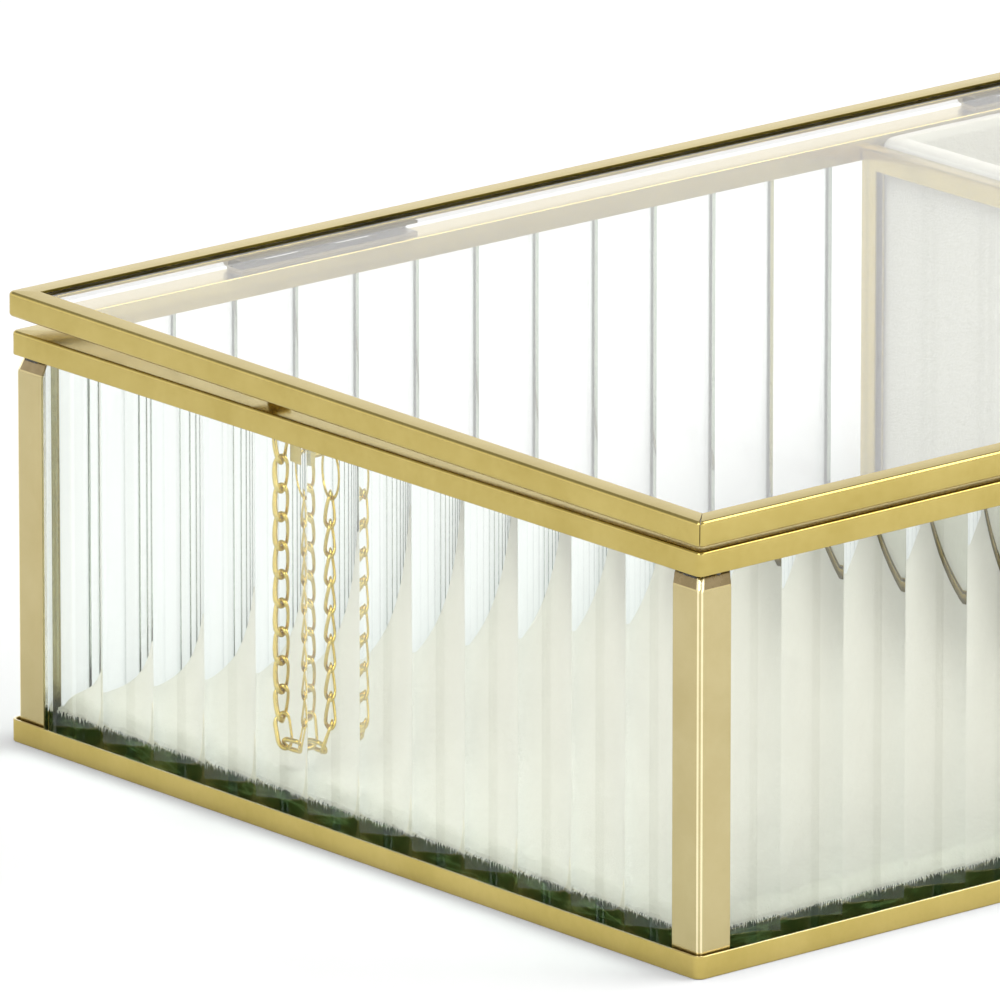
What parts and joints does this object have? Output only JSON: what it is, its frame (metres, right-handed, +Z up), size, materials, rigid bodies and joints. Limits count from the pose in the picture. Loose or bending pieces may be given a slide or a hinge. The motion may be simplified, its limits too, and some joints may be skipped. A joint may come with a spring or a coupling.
{
  "type": "jewelry box",
  "caption": "Rectangular glass jewelry box with brass strip frames, fluted walls, a hinged clear lid on a stay chain, a partition and velvet linings.",
  "frame": {"origin": "middle of the underside of the base rim, at the rest plane", "axes": "+X along the length, +Y towards the hinges, +Z up; the chain is at the -X end"},
  "size_m": [0.254, 0.15, 0.0666],
  "materials": {
    "brass": "satin",
    "fluted_glass": "clear, flutes on the outer face",
    "clear_glass": "clear, polished",
    "base_glass": "clear with a dark green edge",
    "velvet": "short pile"
  },
  "bodies": {
    "box": {"base_rim": "brass", "base_plate": "base_glass", "wall_front": "fluted_glass", "wall_back": "fluted_glass", "wall_left": "fluted_glass", "wall_right": "fluted_glass", "post_front_left": "brass", "post_front_right": "brass", "post_back_left": "brass", "post_back_right": "brass", "top_rim": "brass", "partition_post_front": "brass", "partition_post_back": "brass", "partition_rail_top": "brass", "partition_rail_bottom": "brass", "partition_pane": "clear_glass", "velvet_pad": "velvet", "velvet_tray": "velvet", "hinge_left_box_leaf": "brass", "hinge_right_box_leaf": "brass", "hinge_left_pin": "brass", "hinge_right_pin": "brass", "chain_eye_box": "brass"},
    "lid": {"lid_frame": "brass", "lid_pane": "clear_glass", "hinge_left_lid_leaf": "brass", "hinge_right_lid_leaf": "brass", "chain_eye_lid": "brass"},
    "chain_box": {"chain_ring_box": "brass", "chain_strand_box": "brass"},
    "chain_turn_a": {"chain_turn_1": "brass"},
    "chain_turn_b": {"chain_turn_2": "brass"},
    "chain_lid": {"chain_ring_lid": "brass", "chain_strand_lid": "brass"},
    "chain_turn_c": {"chain_turn_3": "brass"}
  },
  "joints": [
    {"name": "lid_hinge", "type": "hinge", "parent": "box", "child": "lid", "pos_m": [0, 0.07425, 0.06185], "axis": [-1, 0, 0], "range_deg": [0, 112.12]},
    {"name": "chain_box_swing", "type": "hinge", "parent": "box", "child": "chain_box", "pos_m": [-0.117, 0.0155, 0.05425], "axis": [1, 0, 0], "range_deg": [0, 128.37]},
    {"name": "chain_turn_a_bend", "type": "hinge", "parent": "chain_box", "child": "chain_turn_a", "pos_m": [-0.117, 0.0155, 0.01417], "axis": [1, 0, 0], "range_deg": [-21.48, 0]},
    {"name": "chain_turn_b_bend", "type": "hinge", "parent": "chain_turn_a", "child": "chain_turn_b", "pos_m": [-0.1183, 0.01675, 0.01082], "axis": [1, 0, 0], "range_deg": [-70.52, 0]},
    {"name": "chain_lid_swing", "type": "hinge", "parent": "lid", "child": "chain_lid", "pos_m": [-0.1196, 0.02165, 0.05847], "axis": [1, 0, 0], "range_deg": [0, 60.49]},
    {"name": "chain_turn_c_bend", "type": "hinge", "parent": "chain_lid", "child": "chain_turn_c", "pos_m": [-0.1196, 0.02165, 0.01439], "axis": [1, 0, 0], "range_deg": [0, 21.48]}
  ],
  "couplings": [
    {"joint": "chain_box_swing", "follows": "lid_hinge", "ratio": 1.136},
    {"joint": "chain_turn_a_bend", "follows": "lid_hinge", "ratio": -0.18269},
    {"joint": "chain_turn_b_bend", "follows": "lid_hinge", "ratio": -0.62002},
    {"joint": "chain_lid_swing", "follows": "lid_hinge", "ratio": 0.5306},
    {"joint": "chain_turn_c_bend", "follows": "lid_hinge", "ratio": 0.18269}
  ]
}
